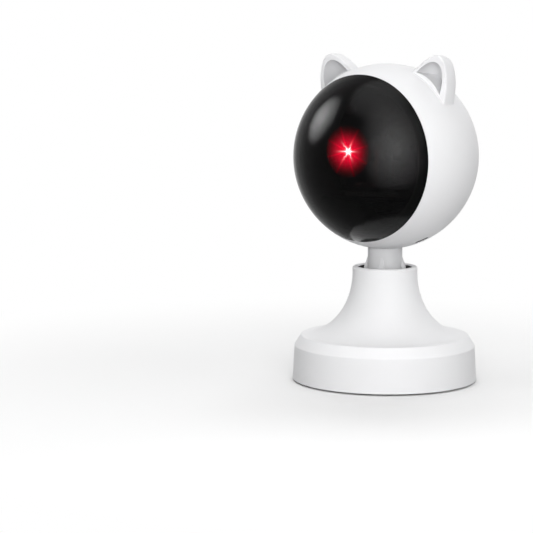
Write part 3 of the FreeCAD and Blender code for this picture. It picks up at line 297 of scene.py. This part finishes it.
def noise(tree, scale, detail):
    """Noise fixed to the piece, its scale in bumps per metre."""
    place = tree.nodes.new("ShaderNodeTexCoord")
    pattern = tree.nodes.new("ShaderNodeTexNoise")
    pattern.inputs["Scale"].default_value = scale
    pattern.inputs["Detail"].default_value = detail
    tree.links.new(place.outputs["Object"], pattern.inputs["Vector"])
    return pattern.outputs["Fac"]


def spread_value(tree, value, low, high):
    """Stretches a noise from low to high."""
    span = tree.nodes.new("ShaderNodeMapRange")
    span.inputs["From Min"].default_value, span.inputs["From Max"].default_value = usual_noise
    span.inputs["To Min"].default_value = low
    span.inputs["To Max"].default_value = high
    tree.links.new(value, span.inputs["Value"])
    return span.outputs["Result"]


def uneven_gloss(tree, shader, scale, detail, low, high):
    gloss = spread_value(tree, noise(tree, scale, detail), low, high)
    tree.links.new(gloss, shader.inputs["Roughness"])


def tinted(tree, shader, value, dark, light):
    """The base colour runs between two shades along a value."""
    ramp = tree.nodes.new("ShaderNodeMix")
    ramp.data_type = "RGBA"
    ramp.inputs["A"].default_value = (*dark, 1.0)
    ramp.inputs["B"].default_value = (*light, 1.0)
    tree.links.new(value, ramp.inputs["Factor"])
    tree.links.new(ramp.outputs["Result"], shader.inputs["Base Color"])


def bumped(tree, shader, height, depth):
    bump = tree.nodes.new("ShaderNodeBump")
    bump.inputs["Distance"].default_value = depth
    bump.inputs["Strength"].default_value = 1.0
    tree.links.new(height, bump.inputs["Height"])
    tree.links.new(bump.outputs["Normal"], shader.inputs["Normal"])


def moulded(name, colour, roughness, specular):
    """Injection-moulded plastic: a fine skin, slightly uneven gloss and a trace of colour drift."""
    material, tree, shader = new_material(name, colour, roughness)
    shader.inputs["Specular IOR Level"].default_value = specular
    drift = spread_value(tree, noise(tree, drift_scale, 3.0), 0.0, 1.0)
    tinted(tree, shader, drift, [c * (1 - drift_share) for c in colour], colour)
    uneven_gloss(tree, shader, gloss_scale, 3.0, *(roughness * share for share in gloss_span))
    bumped(tree, shader, noise(tree, grain_scale, 3.0), grain_depth)
    return material


def metal(name, colour, roughness):
    """Bare metal with a fine brushed unevenness."""
    material, tree, shader = new_material(name, colour, roughness, 1.0)
    uneven_gloss(tree, shader, brushed_scale, 4.0, *(roughness * share for share in brushed_span))
    bumped(tree, shader, noise(tree, metal_grain_scale, 2.0), metal_grain_depth)
    return material


def rubber():
    """Matte grey rubber, slightly mottled."""
    material, tree, shader = new_material("grey_rubber", rubber_grey, rubber_roughness)
    mottle = spread_value(tree, noise(tree, rubber_mottle_scale, 4.0), 0.0, 1.0)
    tinted(tree, shader, mottle, [c * (1 - rubber_mottle_share) for c in rubber_grey], rubber_grey)
    bumped(tree, shader, noise(tree, rubber_grain_scale, 4.0), rubber_grain_depth)
    return material


def smoked_window():
    """Gloss black plastic that lets a little of the laser's light through."""
    material, tree, shader = new_material("smoked_window", window_black, window_roughness)
    shader.inputs["IOR"].default_value = window_ior
    shader.inputs["Alpha"].default_value = window_cover
    uneven_gloss(tree, shader, window_gloss_scale, 2.0, window_roughness_low, window_roughness_high)
    return material


def arithmetic(tree, operation, first, second=None):
    """A math node; each input is a socket or a number."""
    node = tree.nodes.new("ShaderNodeMath")
    node.operation = operation
    for socket, value in zip(node.inputs, (first, second)):
        if value is None:
            continue
        if isinstance(value, (int, float)):
            socket.default_value = value
        else:
            tree.links.new(value, socket)
    return node.outputs[0]


def vector(tree, operation, first, second):
    """A vector node between a socket and a socket or a fixed vector; it gives a vector or a value."""
    node = tree.nodes.new("ShaderNodeVectorMath")
    node.operation = operation
    tree.links.new(first, node.inputs[0])
    if isinstance(second, Vector):
        node.inputs[1].default_value = second
    else:
        tree.links.new(second, node.inputs[1])
    return node.outputs["Value" if operation in ("DOT_PRODUCT", "DISTANCE") else "Vector"]


def all_of(tree, tests):
    """1 where every test is 1, else 0."""
    total = tests[0]
    for test in tests[1:]:
        total = arithmetic(tree, "MULTIPLY", total, test)
    return total


def recoloured(tree, shader, inside, colour):
    """Another base colour where inside is 1; every use here lays painted shade."""
    skin = shader.inputs["Base Color"].links[0].from_socket
    mix = tree.nodes.new("ShaderNodeMix")
    mix.data_type = "RGBA"
    mix.inputs["B"].default_value = (*colour, 1.0)
    tree.links.new(inside, mix.inputs["Factor"])
    tree.links.new(skin, mix.inputs["A"])
    tree.links.new(mix.outputs["Result"], shader.inputs["Base Color"])


def star_glow():
    """Dark plastic with the laser's own light on its front: a white core and spikes, a red halo and rays."""
    material, tree, shader = new_material("laser_spill", star_black, star_roughness)
    axes = tree.nodes.new("ShaderNodeSeparateXYZ")
    tree.links.new(tree.nodes.new("ShaderNodeTexCoord").outputs["Object"], axes.inputs[0])

    def times(first, second):
        return arithmetic(tree, "MULTIPLY", first, second)

    def plus(first, second):
        return arithmetic(tree, "ADD", first, second)

    across = times(arithmetic(tree, "SUBTRACT", axes.outputs["X"], beam.x), star_squeeze)
    up = arithmetic(tree, "SUBTRACT", axes.outputs["Z"], beam.z)
    radius = arithmetic(tree, "SQRT", plus(times(across, across), times(up, up)))
    angle = arithmetic(tree, "ARCTAN2", up, across)

    def falling(reach, steepness):
        share = arithmetic(tree, "POWER", arithmetic(tree, "DIVIDE", radius, reach), steepness)
        return arithmetic(tree, "EXPONENT", times(share, -1.0))

    def disc(reach, steepness, strength):
        return times(falling(reach, steepness), strength)

    def rays(count, turn, sharpness, reach, steepness, strength):
        half_turns = times(arithmetic(tree, "SUBTRACT", angle, math.radians(turn)), count / 2)
        wave = arithmetic(tree, "ABSOLUTE", arithmetic(tree, "COSINE", half_turns))
        line = arithmetic(tree, "POWER", wave, sharpness)
        return times(times(line, falling(reach, steepness)), strength)

    front = arithmetic(tree, "LESS_THAN", axes.outputs["Y"], bezel_back + skin_edge)
    white = times(front, plus(disc(*core), rays(*spikes)))
    red = times(front, plus(disc(*halo), rays(*long_rays)))
    mix = tree.nodes.new("ShaderNodeCombineColor")
    tree.links.new(plus(white, red), mix.inputs["Red"])
    tree.links.new(plus(white, times(red, halo_green)), mix.inputs["Green"])
    tree.links.new(plus(white, times(red, halo_blue)), mix.inputs["Blue"])
    tree.links.new(mix.outputs["Color"], shader.inputs["Emission Color"])
    both_faces = (1.0 - window_cover) ** 2           # what the window's two faces let through
    shader.inputs["Emission Strength"].default_value = 1.0 / both_faces
    return material


def base_white():
    """The shell's white, with painted shade in the collar's bore below its rounded rim."""
    material = moulded("base_white", shell_white, shell_roughness, shell_specular)
    tree = material.node_tree
    place = tree.nodes.new("ShaderNodeTexCoord").outputs["Object"]
    level = vector(tree, "MULTIPLY", place, Vector((1.0, 1.0, 0.0)))
    off_axis = vector(tree, "DISTANCE", level, Vector())
    height = vector(tree, "DOT_PRODUCT", place, Vector((0.0, 0.0, 1.0)))
    in_bore = all_of(tree, [
        arithmetic(tree, "LESS_THAN", off_axis, collar_bore + skin_edge),
        arithmetic(tree, "LESS_THAN", height, collar_top - collar_rim_round)])
    # painted shade in the collar's bore
    recoloured(tree, tree.nodes["Principled BSDF"], in_bore, bore_painted_shade)
    return material


def head_white():
    """The shell's white, with painted shade in the inner ears and on the sides of the switch's slot."""
    material = moulded("head_white", shell_white, shell_roughness, shell_specular)
    tree = material.node_tree
    shader = tree.nodes["Principled BSDF"]
    coordinates = tree.nodes.new("ShaderNodeTexCoord")
    place, normal = coordinates.outputs["Object"], coordinates.outputs["Normal"]
    from_centre = vector(tree, "DISTANCE", place, head_centre)
    for middle in ear_middles:
        facing = vector(tree, "DOT_PRODUCT", normal, vector(tree, "SUBTRACT", place, middle))
        in_hollow = all_of(tree, [
            arithmetic(tree, "LESS_THAN", vector(tree, "DISTANCE", place, middle), ear_reach),
            arithmetic(tree, "GREATER_THAN", from_centre, head_radius + skin_edge),
            arithmetic(tree, "LESS_THAN", facing, 0.0)])
        # painted shade in the ear's hollow
        recoloured(tree, shader, in_hollow, ear_hollow_painted_shade)
    from_slot = vector(tree, "SUBTRACT", place, slot_centre)
    in_slot = [arithmetic(tree, "LESS_THAN", from_centre, head_radius - skin_edge)]
    for axis, half in ((slot_along, slot_length / 2), (slot_across, slot_width / 2), (slot_out, slot_depth)):
        away = arithmetic(tree, "ABSOLUTE", vector(tree, "DOT_PRODUCT", from_slot, axis))
        in_slot.append(arithmetic(tree, "LESS_THAN", away, half))
    # painted shade on the sides of the switch's slot
    recoloured(tree, shader, all_of(tree, in_slot), slot_painted_shade)
    return material


def dress(material, *nodes):
    for node in nodes:
        slots = frame["nodes"][node].data.materials
        slots.clear()
        slots.append(material)


def dress_all():
    for *look, nodes in mouldings:
        dress(moulded(*look), *nodes)
    for *look, nodes in metals:
        dress(metal(*look), *nodes)
    dress(base_white(), "base_shell")
    dress(head_white(), "head_shell")
    dress(smoked_window(), "front_window")
    dress(rubber(), "rubber_feet", "pressure_bush")
    dress(star_glow(), *star_nodes)
    for node in star_nodes:
        frame["nodes"][node].visible_diffuse = False         # the star doesn't redden what is round it


add_camera()
add_room()
for lamp in lamps:
    add_lamp(*lamp)
add_cards()
add_floor()
dress_all()
bpy.context.scene.view_settings.view_transform = "Standard"
